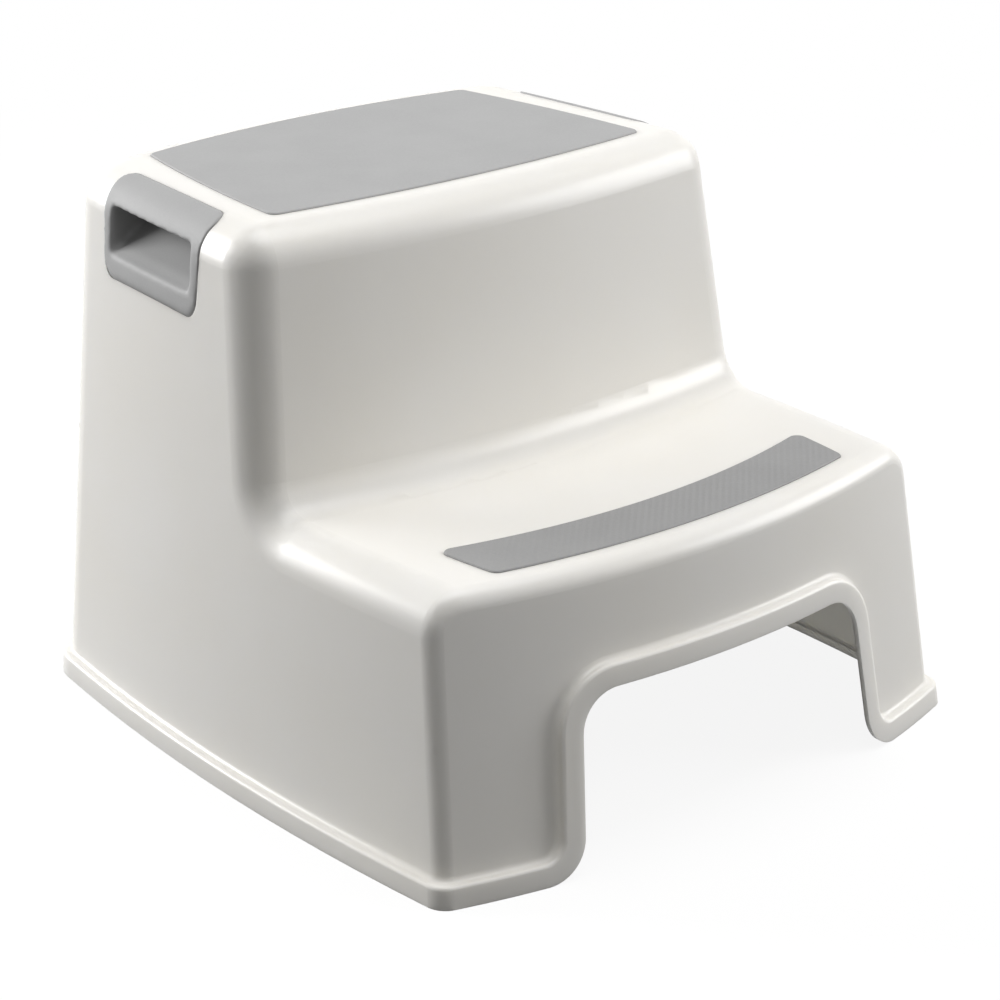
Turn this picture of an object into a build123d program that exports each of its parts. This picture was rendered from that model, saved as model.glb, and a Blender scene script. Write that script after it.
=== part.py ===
from build123d import *
import math
import os

os.makedirs("parts", exist_ok=True)

# Overall form. Front faces -Y, the floor is z = 0, the stool is mirrored in the YZ plane.
height = 280.0
tread_height = 145.0
wall = 3.0

# Walls: each is part of an upright cone, so it bows outward and leans in by its lean for each mm of height.
half_width_floor = 174.2
side_lean = 0.0821
side_bow_radius = 1325.0
side_crown_y = -30.9
front_floor_y = -197.4
front_lean = 0.155
front_bow_radius = 530.0
back_floor_y = 186.5
back_lean = 0.0468
back_bow_radius = 610.0
back_corner = 25.0
front_edge_radius = 10.0

# Riser between the two treads.
riser_foot_y = -40.1
riser_lean = 0.1467
riser_bow_radius = 830.0
riser_foot_radius = 18.0
rim_radius = 21.0

# Margin by which cutting blocks reach past what they cut.
overcut = 30.0

# Arch in the front wall and the rolled lip round the lower edge.
arch_height = 88.0
arch_half_top = 90.5
arch_half_floor = 98.0
arch_top_radius = 21.0
arch_foot_radius = 22.0
lip_out = 5.0
lip_width = 11.0
lip_cove_radius = 3.0
lip_edge_radius = 1.8
lip_front_corner = 12.0
lip_back_corner = 31.0

# Grey pads, let into the treads and standing a little proud of them.
pad_recess = 1.2
pad_thickness = 2.0
pad_clearance = 0.2
pad_corner = 5.0
pad_edge = 0.5
top_pad_front_y = 5.1
top_pad_back_y = 152.1
top_pad_front_half = 120.0
top_pad_back_half = 104.0
top_pad_front_bow = 8.0
top_pad_back_bow = 10.0
top_pad_side_bow = 2.5
strip_front_y = -159.9
strip_back_y = -126.4
strip_front_half = 115.0
strip_back_half = 119.5
strip_front_bow = 13.0
strip_back_bow = -17.0
strip_side_bow = 0.4

# Finger scoops let into the top edge of the side walls.
handle_y = 78.1
handle_top_length = 98.0
handle_bottom_length = 92.0
handle_top_x = 130.0
handle_bottom_z = 230.0
handle_corner = 9.0
handle_proud = 0.6
handle_clearance = 0.2
handle_flange = 4.0
handle_wall = 2.4
scoop_length = 78.0
scoop_bottom_z = 242.0
scoop_top_z = 266.0
scoop_depth = 26.0
scoop_lip = 2.0
scoop_radius = 7.0

# Stiffening ribs under the treads.
rib_thickness = 2.0
rib_depth = 12.0
rib_pitch = 56.0


half_width_top = half_width_floor - side_lean * height
riser_top_y = riser_foot_y + riser_lean * (height - tread_height)


def wall_cone(x, y, radius, lean, bottom, top, mode):
    # Upright cone about (x, y) with the given radius at the floor.
    with Locations((x, y, bottom)):
        Cone(
            radius - lean * bottom,
            radius - lean * top,
            top - bottom,
            align=(Align.CENTER, Align.CENTER, Align.MIN),
            mode=mode,
        )


def upright_edges(part):
    # The four corner edges of a block of walls, from front to back.
    rising = [edge for edge in part.edges() if abs((edge @ 0).Z - (edge @ 1).Z) > wall]
    return sorted(rising, key=lambda edge: (edge @ 0.5).Y)


def walled_block(grow, bottom, top):
    # Block between the four leaning walls, each moved outward by grow.
    side_x = side_bow_radius - half_width_floor
    front_y = front_floor_y + front_bow_radius
    back_y = back_floor_y - back_bow_radius
    with BuildPart() as block:
        wall_cone(side_x, side_crown_y, side_bow_radius + grow, side_lean, bottom, top, Mode.ADD)
        wall_cone(-side_x, side_crown_y, side_bow_radius + grow, side_lean, bottom, top, Mode.INTERSECT)
        wall_cone(0, front_y, front_bow_radius + grow, front_lean, bottom, top, Mode.INTERSECT)
        wall_cone(0, back_y, back_bow_radius + grow, back_lean, bottom, top, Mode.INTERSECT)
    return block.part


def step_air(tread, grow):
    # Air above the lower tread, in front of the riser.
    reach = 2 * half_width_floor
    riser_y = riser_foot_y + riser_bow_radius
    riser_radius = riser_bow_radius + grow + riser_lean * tread_height
    with BuildPart() as air:
        with Locations((0, riser_top_y + overcut, tread)):
            Box(2 * reach, reach, height, align=(Align.CENTER, Align.MAX, Align.MIN))
        wall_cone(0, riser_y, riser_radius, riser_lean, tread, tread + height, Mode.SUBTRACT)
    return air.part


def rim_edges(form, top, tread):
    # Edges round the treads and up the sides of the riser, without those of the front face.
    rim = []
    for edge in form.edges():
        middle = edge @ 0.5
        on_side = abs(middle.X) > half_width_top / 2
        if abs(middle.Z - top) < 0.01:
            rim.append(edge)
        elif abs(middle.Z - tread) < 0.01 and on_side:
            rim.append(edge)
        elif tread < middle.Z < top and on_side and middle.Y < -riser_top_y:
            rim.append(edge)
    return rim


def stool_form(grow):
    # Solid two-step form with every outer face moved outward by grow.
    top = height + grow
    tread = tread_height + grow
    with BuildPart() as form:
        add(walled_block(grow, 0, top))
        fillet(upright_edges(form)[-2:], back_corner + grow)
        add(step_air(tread, grow), mode=Mode.SUBTRACT)
        level = form.edges().filter_by_position(Axis.Z, tread - 0.01, tread + 0.01)
        fillet(level.sort_by(Axis.Y)[-1], riser_foot_radius - grow)
        fillet(rim_edges(form, top, tread), rim_radius + grow)
        level = form.edges().filter_by_position(Axis.Z, tread - 0.01, tread + 0.01)
        fillet(level.sort_by(Axis.Y)[0], front_edge_radius + grow)
    return form.part


def stool_cavity(depth):
    # The same form at a depth below its skin, with flats that keep the wall full behind each round.
    top = height - depth
    tread = tread_height - depth
    flat = 2 - math.sqrt(2)
    with BuildPart() as form:
        add(walled_block(-depth, -depth, top))
        for edge in upright_edges(form)[-2:]:
            across = Vector(1, -math.copysign(1, (edge @ 0.5).X), 0)
            outward = (edge @ 1 - edge @ 0).cross(across).normalized()
            outward = outward * math.copysign(1, outward.Y)
            inset = flat * (back_corner - depth) / math.sqrt(2)
            split(bisect_by=Plane(origin=edge @ 0 - outward * inset, z_dir=outward), keep=Keep.BOTTOM)
        add(step_air(tread, -depth), mode=Mode.SUBTRACT)
        level = form.edges().filter_by_position(Axis.Z, tread - 0.01, tread + 0.01)
        chamfer(level.sort_by(Axis.Y)[-1], flat * (riser_foot_radius + depth))
        chamfer(rim_edges(form, top, tread), flat * (rim_radius - depth))
        front = form.faces().sort_by(Axis.Y)[0].edges().sort_by(Axis.Z)
        chamfer(front[1:], flat * (front_edge_radius - depth))
    return form.part


def arch_outline(grow):
    # Arch and the floor beside it, seen from the front, moved outward by grow.
    lean = (arch_half_floor - arch_half_top) / arch_height
    run = grow * (1 + lean ** 2) ** 0.5
    foot_x = arch_half_floor + run - grow * lean
    top_x = arch_half_floor + run - (arch_height + grow) * lean
    far_x = 2 * half_width_floor
    with BuildSketch(Plane.XZ) as mouth:
        with BuildLine():
            Polyline(
                (-far_x, -arch_height),
                (-far_x, grow),
                (-foot_x, grow),
                (-top_x, arch_height + grow),
                (top_x, arch_height + grow),
                (foot_x, grow),
                (far_x, grow),
                (far_x, -arch_height),
                close=True,
            )
        make_face()
        corners = mouth.vertices().filter_by_position(Axis.X, -far_x / 2, far_x / 2)
        fillet(corners.sort_by(Axis.Y)[-2:], arch_top_radius + grow)
        corners = mouth.vertices().filter_by_position(Axis.X, -far_x / 2, far_x / 2)
        fillet(corners.sort_by(Axis.Y)[:2], arch_foot_radius - grow)
    return mouth.sketch


def lip_form(grow, width, bottom):
    # Band of the form, moved outward by grow, that lies within width of the floor or of the arch.
    ceiling = arch_height + overcut
    span = 4 * half_width_floor
    with BuildPart() as block:
        add(walled_block(grow, bottom, ceiling))
        fillet(upright_edges(block)[:2], lip_front_corner + grow - lip_out)
        fillet(upright_edges(block)[-2:], lip_back_corner + grow - lip_out)
    with BuildPart() as lip:
        extrude(arch_outline(width), amount=span)
        with Locations((0, 0, width)):
            Box(span, span, span, align=(Align.CENTER, Align.CENTER, Align.MAX))
        add(block.part, mode=Mode.INTERSECT)
    return lip.part


def bowed_pad(z, front_y, back_y, front_half, back_half, front_bow, back_bow, side_bow, grow):
    # Four-sided pad outline with bowed edges, moved outward by grow; its y values are those at x = 0.
    front_corner = (front_half + grow, front_y + front_bow - grow)
    back_corner = (back_half + grow, back_y - back_bow + grow)
    side_middle = (
        (front_corner[0] + back_corner[0]) / 2 + side_bow,
        (front_corner[1] + back_corner[1]) / 2,
    )
    with BuildSketch(Plane.XY.offset(z)) as pad:
        with BuildLine():
            ThreePointArc(front_corner, side_middle, back_corner)
            ThreePointArc((-front_corner[0], front_corner[1]), (0, front_y - grow), front_corner)
            ThreePointArc((-back_corner[0], back_corner[1]), (0, back_y + grow), back_corner)
            ThreePointArc(
                (-front_corner[0], front_corner[1]),
                (-side_middle[0], side_middle[1]),
                (-back_corner[0], back_corner[1]),
            )
        make_face()
        fillet(pad.vertices(), pad_corner + grow)
    return pad.sketch


def side_wall_x(y, z):
    # Distance of the outer side wall from the centre plane.
    radius = side_bow_radius - side_lean * z
    return half_width_floor - side_bow_radius + (radius ** 2 - (y - side_crown_y) ** 2) ** 0.5


# Frames of the right-hand handle: across its patch, which faces out and up, and along its scoop.
handle_turn = math.asin((handle_y - side_crown_y) / side_bow_radius)
handle_along = Vector(-math.sin(handle_turn), math.cos(handle_turn), 0)
handle_inward = Vector(-math.cos(handle_turn), -math.sin(handle_turn), 0)
handle_wall_x = side_wall_x(handle_y, handle_bottom_z)
patch_high = (height - handle_top_x) / math.sqrt(2)
patch_low = (handle_bottom_z - handle_wall_x) / math.sqrt(2)
patch_out = (height + handle_wall_x) / math.sqrt(2)
patch_middle = (patch_high + patch_low) / 2
patch_plane = Plane(
    origin=((patch_out - patch_middle) / math.sqrt(2), handle_y, (patch_out + patch_middle) / math.sqrt(2)),
    x_dir=handle_along,
    z_dir=Vector(0, 0, 1) - handle_inward,
)
scoop_plane = Plane(
    origin=(side_wall_x(handle_y, scoop_bottom_z), handle_y, 0),
    x_dir=handle_inward,
    z_dir=handle_along,
)


def patch_prism(grow):
    # Block that the handle's patch cuts out of the side of the stool.
    half_rise = (patch_high - patch_low) / 2 + grow
    half_top = handle_top_length / 2 + grow
    half_bottom = handle_bottom_length / 2 + grow
    with BuildPart() as prism:
        with BuildSketch(patch_plane) as patch:
            with BuildLine():
                Polyline(
                    (-half_bottom, -half_rise),
                    (half_bottom, -half_rise),
                    (half_top, half_rise),
                    (-half_top, half_rise),
                    close=True,
                )
            make_face()
            fillet(patch.vertices(), handle_corner + grow)
        extrude(amount=-2 * scoop_depth)
    return prism.part


def scoop_block(grow):
    # Finger space under the upper edge: its floor climbs inward from the lower edge.
    with BuildPart() as block:
        with BuildSketch(scoop_plane):
            with BuildLine():
                Polyline(
                    (-scoop_depth, scoop_bottom_z - grow),
                    (scoop_lip, scoop_bottom_z - grow),
                    (scoop_depth + grow, scoop_top_z - scoop_radius - grow),
                    (scoop_depth + grow, scoop_top_z + grow),
                    (-scoop_depth, scoop_top_z + grow),
                    close=True,
                )
            make_face()
        extrude(amount=scoop_length / 2 + grow, both=True)
        inner = block.edges().filter_by(Axis((0, 0, 0), handle_along)).sort_by(Axis.X)
        fillet(inner[:2], scoop_radius / 2 + grow)
    return block.part


def ribs_under(level, front_y, back_y, cross_y):
    # Lengthwise ribs under a tread, with cross ribs between the outer two.
    with BuildPart() as ribs:
        with Locations((0, (front_y + back_y) / 2, level - wall - rib_depth)):
            with GridLocations(rib_pitch, 0, 3, 1):
                Box(
                    rib_thickness,
                    back_y - front_y,
                    rib_depth + wall + riser_foot_radius,
                    align=(Align.CENTER, Align.CENTER, Align.MIN),
                )
        for y in cross_y:
            with Locations((0, y, level - wall - rib_depth)):
                Box(
                    2 * rib_pitch,
                    rib_thickness,
                    rib_depth + wall,
                    align=(Align.CENTER, Align.CENTER, Align.MIN),
                )
        add(stool_cavity(wall / 2), mode=Mode.INTERSECT)
    return ribs.part


top_pad_size = (
    top_pad_front_y,
    top_pad_back_y,
    top_pad_front_half,
    top_pad_back_half,
    top_pad_front_bow,
    top_pad_back_bow,
    top_pad_side_bow,
)
strip_size = (
    strip_front_y,
    strip_back_y,
    strip_front_half,
    strip_back_half,
    strip_front_bow,
    strip_back_bow,
    strip_side_bow,
)
top_pad_floor = height - pad_recess
strip_floor = tread_height - pad_recess
top_length = top_pad_back_y - top_pad_front_y
top_cross = [top_pad_front_y + top_length / 3, top_pad_front_y + top_length * 2 / 3]

with BuildPart() as shell:
    add(stool_form(0))
    add(lip_form(lip_out, lip_width, 0))
    level = shell.edges().filter_by_position(Axis.Z, lip_width - 0.01, lip_width + 0.01).sort_by(Axis.Y)
    fillet(level[-2], lip_cove_radius)
    level = shell.edges().filter_by_position(Axis.Z, lip_width - 0.01, lip_width + 0.01).sort_by(Axis.Y)
    fillet(level[-1], lip_edge_radius)
    add(stool_cavity(wall), mode=Mode.SUBTRACT)
    add(lip_form(lip_out - wall, lip_width - wall, -wall), mode=Mode.SUBTRACT)
    extrude(arch_outline(0), amount=4 * half_width_floor, mode=Mode.SUBTRACT)
    add(ribs_under(height, riser_top_y - wall, back_floor_y, top_cross))
    add(ribs_under(tread_height, front_floor_y, riser_foot_y, [(strip_back_y + riser_foot_y) / 2]))
    extrude(bowed_pad(top_pad_floor, *top_pad_size, pad_clearance), amount=pad_thickness, mode=Mode.SUBTRACT)
    extrude(bowed_pad(strip_floor, *strip_size, pad_clearance), amount=pad_thickness, mode=Mode.SUBTRACT)
    add(patch_prism(0), mode=Mode.SUBTRACT)
    add(mirror(patch_prism(0), about=Plane.YZ, mode=Mode.PRIVATE), mode=Mode.SUBTRACT)

with BuildPart() as top_pad:
    extrude(bowed_pad(top_pad_floor, *top_pad_size, 0), amount=pad_thickness)
    chamfer(top_pad.faces().sort_by(Axis.Z)[-1].edges(), pad_edge)

with BuildPart() as step_strip:
    extrude(bowed_pad(strip_floor, *strip_size, 0), amount=pad_thickness)
    chamfer(step_strip.faces().sort_by(Axis.Z)[-1].edges(), pad_edge)

# The handle's face fills the hole in the wall, and a flange behind the wall holds it there.
with BuildPart() as handle_face:
    add(stool_form(handle_proud))
    add(patch_prism(-handle_clearance), mode=Mode.INTERSECT)

with BuildPart() as handle_hollow:
    add(stool_cavity(wall).moved(Location((handle_inward - Vector(0, 0, 1)) * handle_wall)))
    add(patch_prism(2 * handle_flange), mode=Mode.INTERSECT)
    add(scoop_block(handle_wall), mode=Mode.SUBTRACT)

with BuildPart() as right_handle:
    add(stool_cavity(wall))
    add(patch_prism(handle_flange), mode=Mode.INTERSECT)
    add(handle_face.part)
    add(handle_hollow.part, mode=Mode.SUBTRACT)
    add(scoop_block(0), mode=Mode.SUBTRACT)

with BuildPart() as left_handle:
    add(right_handle.part)
    mirror(about=Plane.YZ, mode=Mode.REPLACE)

shell.part.label = "shell"
top_pad.part.label = "top_pad"
step_strip.part.label = "step_strip"
right_handle.part.label = "right_handle"
left_handle.part.label = "left_handle"

export_step(shell.part, "parts/shell.step")
export_step(top_pad.part, "parts/top_pad.step")
export_step(step_strip.part, "parts/step_strip.step")
export_step(right_handle.part, "parts/right_handle.step")
export_step(left_handle.part, "parts/left_handle.step")
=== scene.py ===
import math

import bmesh
import bpy
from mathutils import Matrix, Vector


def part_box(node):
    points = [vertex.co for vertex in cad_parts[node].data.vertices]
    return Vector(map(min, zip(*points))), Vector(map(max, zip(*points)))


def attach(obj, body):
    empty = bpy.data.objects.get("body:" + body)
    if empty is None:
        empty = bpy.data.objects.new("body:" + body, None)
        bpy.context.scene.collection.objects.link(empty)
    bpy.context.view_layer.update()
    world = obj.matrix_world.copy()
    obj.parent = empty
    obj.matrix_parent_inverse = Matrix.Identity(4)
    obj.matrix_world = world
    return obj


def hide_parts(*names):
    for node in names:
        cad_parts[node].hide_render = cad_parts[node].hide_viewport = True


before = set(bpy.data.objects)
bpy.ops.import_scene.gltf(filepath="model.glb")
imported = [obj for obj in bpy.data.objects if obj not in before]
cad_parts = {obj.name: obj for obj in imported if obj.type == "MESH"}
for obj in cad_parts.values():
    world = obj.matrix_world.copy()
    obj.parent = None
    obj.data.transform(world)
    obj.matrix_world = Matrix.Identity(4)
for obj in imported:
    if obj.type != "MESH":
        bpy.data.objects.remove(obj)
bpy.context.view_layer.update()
print("frame loaded:", ", ".join(sorted(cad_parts)))


def hexToLinear(code):
    channels = [int(code[i:i + 2], 16) / 255 for i in (1, 3, 5)]
    linear = [c / 12.92 if c <= 0.04045 else ((c + 0.055) / 1.055) ** 2.4 for c in channels]
    return (*linear, 1.0)


def addNode(tree, kind, settings=None, links=None):
    node = tree.nodes.new(kind)
    for key, value in (settings or {}).items():
        if isinstance(key, int) or key in node.inputs:
            node.inputs[key].default_value = value
        else:
            setattr(node, key, value)
    for key, source in (links or {}).items():
        tree.links.new(source, node.inputs[key])
    return node


def addTint(tree, pattern, span, dark, light):
    ramp = addNode(tree, "ShaderNodeValToRGB", None, {"Fac": pattern})
    for stop, place, code in zip(ramp.color_ramp.elements, span, (dark, light)):
        stop.position = place
        stop.color = hexToLinear(code)
    return ramp.outputs["Color"]


def newMaterial(name):
    material = bpy.data.materials.new(name)
    material.use_nodes = True
    tree = material.node_tree
    tree.nodes.clear()
    return material, tree


# injection-moulded polypropylene: milky white, satin gloss, faint flow marks, some light through the wall
# the mould grain is drawn coarser than the real one, about 0.2 mm, so that it shows
shellLook = {
    "white": "#F0EDE6",
    "shade": "#EEEAE1",
    "ior": 1.49,
    "roughness": 0.3,
    "roughnessSpread": 0.015,
    "flowMm": 90.0,
    "flowSpan": (0.3, 0.7),  # part of the noise that the tint and gloss follow
    "grainMm": 0.9,
    "grainDepthMm": 0.2,
    "grainStrength": 0.06,
    "rippleMm": 45.0,  # sink marks
    "rippleDepthMm": 2.0,
    "rippleStrength": 0.015,
    "glowThrough": 0.5,
    "glowMm": 12.0,
    "glowTint": (1.0, 0.98, 0.9),
}


def makeMouldedPolypropylene(look):
    material, tree = newMaterial("injectionMouldedPolypropylene")
    place = addNode(tree, "ShaderNodeTexCoord").outputs["Object"]
    flow = addNode(tree, "ShaderNodeTexNoise",
                   {"Scale": 1000 / look["flowMm"], "Detail": 1.0}, {"Vector": place}).outputs["Fac"]
    tint = addTint(tree, flow, look["flowSpan"], look["shade"], look["white"])
    gloss = addNode(tree, "ShaderNodeMapRange",
                    {"From Min": look["flowSpan"][0], "From Max": look["flowSpan"][1],
                     "To Min": look["roughness"] - look["roughnessSpread"],
                     "To Max": look["roughness"] + look["roughnessSpread"]}, {"Value": flow})
    grain = addNode(tree, "ShaderNodeTexNoise",
                    {"Scale": 1000 / look["grainMm"], "Detail": 2.0}, {"Vector": place})
    ripple = addNode(tree, "ShaderNodeTexNoise",
                     {"Scale": 1000 / look["rippleMm"], "Detail": 1.0}, {"Vector": place})
    fine = addNode(tree, "ShaderNodeBump",
                   {"Strength": look["grainStrength"], "Distance": look["grainDepthMm"] / 1000},
                   {"Height": grain.outputs["Fac"]})
    sink = addNode(tree, "ShaderNodeBump",
                   {"Strength": look["rippleStrength"], "Distance": look["rippleDepthMm"] / 1000},
                   {"Height": ripple.outputs["Fac"], "Normal": fine.outputs["Normal"]})
    skin = addNode(tree, "ShaderNodeBsdfPrincipled",
                   {"IOR": look["ior"], "Subsurface Weight": look["glowThrough"],
                    "Subsurface Radius": look["glowTint"], "Subsurface Scale": look["glowMm"] / 1000},
                   {"Base Color": tint, "Roughness": gloss.outputs["Result"],
                    "Normal": sink.outputs["Normal"]})
    addNode(tree, "ShaderNodeOutputMaterial", None, {"Surface": skin.outputs["BSDF"]})
    return material


# moulded thermoplastic rubber: soft grey, matte, with a spark-eroded mould grain drawn coarse enough to show
gripLook = {
    "grey": "#9C9C9C",
    "greyDark": "#999999",
    "ior": 1.5,
    "roughness": 0.62,
    "roughnessSpread": 0.06,
    "grainMm": 1.1,
    "grainDepthMm": 0.3,
    "grainSpan": (0.3, 0.7),
    "grainStrength": 0.25,
    "cloudMm": 30.0,
    "cloudSpan": (0.35, 0.65),
}

# the same rubber on the lower step, a darker batch with a fine slanting hatch
stripLook = {
    **gripLook,
    "grey": "#909090",
    "greyDark": "#8C8C8C",
    "hatchMm": 3.2,
    "hatchDepthMm": 0.4,
    "hatchDegrees": 45.0,
    "hatchStrength": 0.22,
}


def makeMouldedRubber(name, look):
    material, tree = newMaterial(name)
    place = addNode(tree, "ShaderNodeTexCoord").outputs["Object"]
    cloud = addNode(tree, "ShaderNodeTexNoise",
                    {"Scale": 1000 / look["cloudMm"], "Detail": 4.0}, {"Vector": place})
    tint = addTint(tree, cloud.outputs["Fac"], look["cloudSpan"], look["greyDark"], look["grey"])
    grain = addNode(tree, "ShaderNodeTexNoise",
                    {"Scale": 1000 / look["grainMm"], "Detail": 3.0}, {"Vector": place})
    dull = addNode(tree, "ShaderNodeMapRange",
                   {"From Min": look["grainSpan"][0], "From Max": look["grainSpan"][1],
                    "To Min": look["roughness"] - look["roughnessSpread"],
                    "To Max": look["roughness"] + look["roughnessSpread"]}, {"Value": grain.outputs["Fac"]})
    relief = addNode(tree, "ShaderNodeBump",
                     {"Strength": look["grainStrength"], "Distance": look["grainDepthMm"] / 1000},
                     {"Height": grain.outputs["Fac"]})
    if "hatchMm" in look:  # fine slanting ribs that give the foot grip
        turn = addNode(tree, "ShaderNodeMapping",
                       {"Rotation": (0, 0, math.radians(look["hatchDegrees"]))}, {"Vector": place})
        ribs = addNode(tree, "ShaderNodeTexWave",
                       {"wave_type": "BANDS", "bands_direction": "X", "wave_profile": "SIN",
                        "Scale": 1000 / look["hatchMm"] * math.pi / 10}, {"Vector": turn.outputs["Vector"]})
        relief = addNode(tree, "ShaderNodeBump",
                         {"Strength": look["hatchStrength"], "Distance": look["hatchDepthMm"] / 1000},
                         {"Height": ribs.outputs["Fac"], "Normal": relief.outputs["Normal"]})
    skin = addNode(tree, "ShaderNodeBsdfPrincipled", {"IOR": look["ior"]},
                   {"Base Color": tint, "Roughness": dull.outputs["Result"],
                    "Normal": relief.outputs["Normal"]})
    addNode(tree, "ShaderNodeOutputMaterial", None, {"Surface": skin.outputs["BSDF"]})
    return material


def dress(node, material):
    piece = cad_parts[node]
    piece.data.materials.clear()
    piece.data.materials.append(material)


polypropylene = makeMouldedPolypropylene(shellLook)
gripRubber = makeMouldedRubber("mouldedRubber", gripLook)
treadRubber = makeMouldedRubber("mouldedTreadRubber", stripLook)
dress("shell", polypropylene)
dress("top_pad", gripRubber)
dress("step_strip", treadRubber)
print("shell and pads dressed")


# handle insert: the soft moulding rolls over round the finger scoop, and a little along its outline
handleLook = {
    "voxelMm": 0.8,
    "rimMm": 7.0,  # breadth of the outline that stays crisp
    "outlinePasses": 2,
    "lipPasses": 24,
    "ease": 0.5,
    "slot": "grey_rubber",
}


def makeSoftHandle(node, name, look, material):
    low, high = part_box(node)
    rim = look["rimMm"] / 1000
    solid = bpy.data.objects.new(name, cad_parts[node].data.copy())
    solid.matrix_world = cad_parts[node].matrix_world
    bpy.context.scene.collection.objects.link(solid)
    voxels = solid.modifiers.new("voxels", "REMESH")
    voxels.mode = "VOXEL"
    voxels.voxel_size = look["voxelMm"] / 1000
    fine = bpy.data.meshes.new_from_object(solid.evaluated_get(bpy.context.evaluated_depsgraph_get()))
    form = bmesh.new()
    form.from_mesh(fine)
    form.transform(solid.matrix_world)
    bpy.data.objects.remove(solid)
    scoop = [v for v in form.verts if all(low[i] + rim < v.co[i] < high[i] - rim for i in (1, 2))]
    for verts, passes in ((form.verts[:], look["outlinePasses"]), (scoop, look["lipPasses"])):
        for _ in range(passes):
            bmesh.ops.smooth_vert(form, verts=verts, factor=look["ease"],
                                  use_axis_x=True, use_axis_y=True, use_axis_z=True)
    mesh = bpy.data.meshes.new(name)
    form.to_mesh(mesh)
    form.free()
    mesh.polygons.foreach_set("use_smooth", [True] * len(mesh.polygons))
    mesh.materials.append(material)
    handle = bpy.data.objects.new(name, mesh)
    bpy.context.scene.collection.objects.link(handle)
    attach(handle, "root")
    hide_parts(node)
    print(name, "faces:", len(mesh.polygons))


makeSoftHandle("left_handle", "leftHandle", handleLook, gripRubber)
makeSoftHandle("right_handle", "rightHandle", handleLook, gripRubber)


def raysThatSee(tree):
    rays = addNode(tree, "ShaderNodeLightPath").outputs
    straight = addNode(tree, "ShaderNodeMath", {"operation": "MAXIMUM"},
                       {0: rays["Is Camera Ray"], 1: rays["Is Transmission Ray"]})
    mirrored = addNode(tree, "ShaderNodeMath", {"operation": "MAXIMUM"},
                       {0: straight.outputs[0], 1: rays["Is Glossy Ray"]})
    return mirrored.outputs[0]


# plain pale floor that shows as white to the camera and keeps a faint shadow
floorLook = {
    "size": 12.0,
    "white": "#FFFFFF",
    "matt": "#606060",  # what the floor throws back on the stool
    "shadow": 0.1,
    "shadowMm": 450.0,  # full shadow out to here
    "clearMm": 1300.0,  # none from here on
}


def makeFloor(look):
    mesh = bpy.data.meshes.new("studioFloor")
    half = look["size"] / 2
    corners = [(-half, -half, 0), (half, -half, 0), (half, half, 0), (-half, half, 0)]
    mesh.from_pydata(corners, [], [(0, 1, 2, 3)])
    floor = bpy.data.objects.new("studioFloor", mesh)
    bpy.context.scene.collection.objects.link(floor)
    material, tree = newMaterial("paleFloor")
    seen = raysThatSee(tree)
    matt = addNode(tree, "ShaderNodeBsdfDiffuse", {"Color": hexToLinear(look["matt"])})
    glow = addNode(tree, "ShaderNodeEmission", {"Color": hexToLinear(look["white"]), "Strength": 1.0})
    pale = addNode(tree, "ShaderNodeBsdfDiffuse", {"Color": hexToLinear(look["white"])})
    away = addNode(tree, "ShaderNodeVectorMath", {"operation": "LENGTH"},
                   {0: addNode(tree, "ShaderNodeTexCoord").outputs["Object"]})
    share = addNode(tree, "ShaderNodeMapRange",
                    {"From Min": look["shadowMm"] / 1000, "From Max": look["clearMm"] / 1000,
                     "To Min": look["shadow"], "To Max": 0.0}, {"Value": away.outputs["Value"]})
    sheet = addNode(tree, "ShaderNodeMixShader", None,
                    {0: share.outputs["Result"], 1: glow.outputs[0], 2: pale.outputs[0]})
    mixed = addNode(tree, "ShaderNodeMixShader", None,
                    {0: seen, 1: matt.outputs[0], 2: sheet.outputs[0]})
    addNode(tree, "ShaderNodeOutputMaterial", None, {"Surface": mixed.outputs[0]})
    mesh.materials.append(material)


makeFloor(floorLook)


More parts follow.
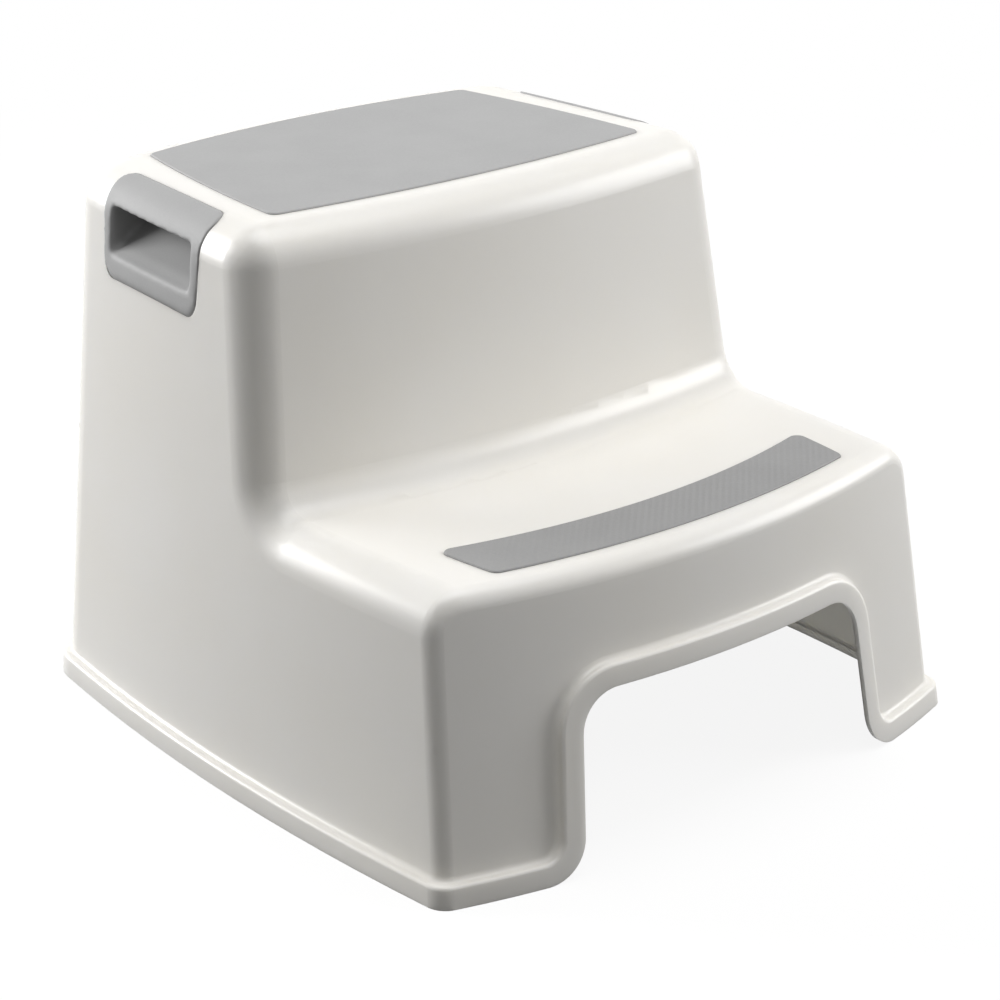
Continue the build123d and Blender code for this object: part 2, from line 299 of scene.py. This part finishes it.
# soft studio light: a bank overhead, one behind the left side and one before the right side
lightLook = {
    "world": "#FFFFFF",
    "worldStrength": 0.19,
    "banks": {
        "topBank": {"at": (0.1, 0.0, 2.3), "size": 1.6, "watts": 34.0},
        "leftBank": {"at": (-1.2, 2.0, 0.8), "size": 1.2, "watts": 59.0},
        "rightBank": {"at": (2.0, -1.2, 1.0), "size": 1.4, "watts": 39.5},
    },
    "aim": (0.0, 0.0, 0.14),
}


def makeLights(look):
    world = bpy.data.worlds.new("studioWorld")
    bpy.context.scene.world = world
    world.use_nodes = True
    tree = world.node_tree
    tree.nodes.clear()
    level = addNode(tree, "ShaderNodeMapRange",
                    {"To Min": look["worldStrength"], "To Max": 1.0}, {"Value": raysThatSee(tree)})
    sky = addNode(tree, "ShaderNodeBackground", {"Color": hexToLinear(look["world"])},
                  {"Strength": level.outputs["Result"]})
    addNode(tree, "ShaderNodeOutputWorld", None, {"Surface": sky.outputs[0]})
    for name, bank in look["banks"].items():
        lamp = bpy.data.lights.new(name, "AREA")
        lamp.shape = "SQUARE"
        lamp.size = bank["size"]
        lamp.energy = bank["watts"]
        holder = bpy.data.objects.new(name, lamp)
        bpy.context.scene.collection.objects.link(holder)
        holder.location = bank["at"]
        holder.rotation_mode = "QUATERNION"
        holder.rotation_quaternion = (Vector(look["aim"]) - holder.location).to_track_quat("-Z", "Y")


makeLights(lightLook)
print("light set")


# camera at the viewing angle of the photograph
cameraLook = {
    "eye": (-0.8931, -1.0710, 0.6751),
    "azimuth": -40.2029,
    "elevation": 22.2216,
    "lens": 103.604,
    "sensor": 36.0,
    "clip": (0.05, 50.0),
}


def makeCamera(look):
    camera = bpy.data.cameras.new("viewCamera")
    camera.sensor_width = look["sensor"]
    camera.lens = look["lens"]
    camera.clip_start, camera.clip_end = look["clip"]
    holder = bpy.data.objects.new("viewCamera", camera)
    bpy.context.scene.collection.objects.link(holder)
    turn, rise = math.radians(look["azimuth"]), math.radians(look["elevation"])
    back = Vector((math.sin(turn) * math.cos(rise), -math.cos(turn) * math.cos(rise), math.sin(rise)))
    holder.location = look["eye"]
    holder.rotation_mode = "QUATERNION"
    holder.rotation_quaternion = (-back).to_track_quat("-Z", "Y")
    bpy.context.scene.camera = holder


makeCamera(cameraLook)
bpy.context.scene.view_settings.view_transform = "Standard"
